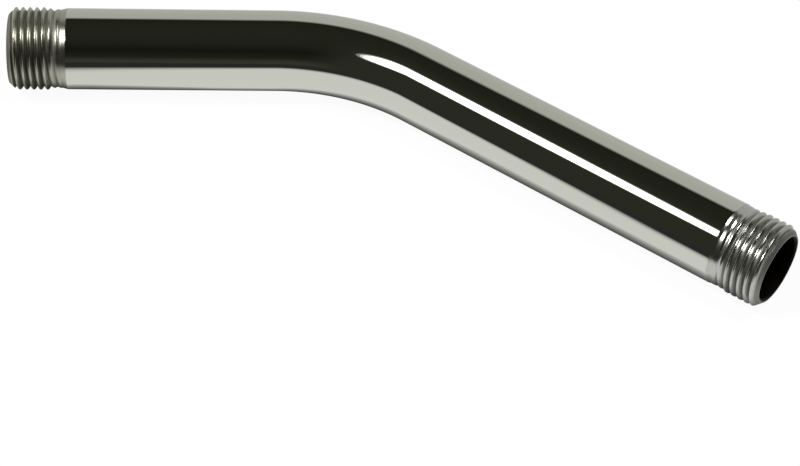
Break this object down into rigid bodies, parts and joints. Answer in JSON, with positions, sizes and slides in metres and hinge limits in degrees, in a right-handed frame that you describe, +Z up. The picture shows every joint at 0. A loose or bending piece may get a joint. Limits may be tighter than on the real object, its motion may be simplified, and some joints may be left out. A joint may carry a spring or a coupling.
{
  "type": "shower arm",
  "caption": "Chrome-plated bent shower arm: a round water pipe with one bend, threaded outside at the wall end and at the shower-head end.",
  "frame": {"origin": "centre of the inlet (wall end) face, on the pipe's axis", "axes": "the arm lies flat as it comes to rest, with its bend in the XY plane: +X runs along the inlet leg from the wall end, the outlet leg turns towards -Y, and +Z is up, across the bend. Installed, it is turned +90 degrees about X, so that -Y points down."},
  "size_m": [0.1962, 0.1009, 0.0216],
  "materials": {
    "polished_chrome": "polished"
  },
  "bodies": {
    "root": {"shower_arm": "polished_chrome"}
  },
  "joints": []
}
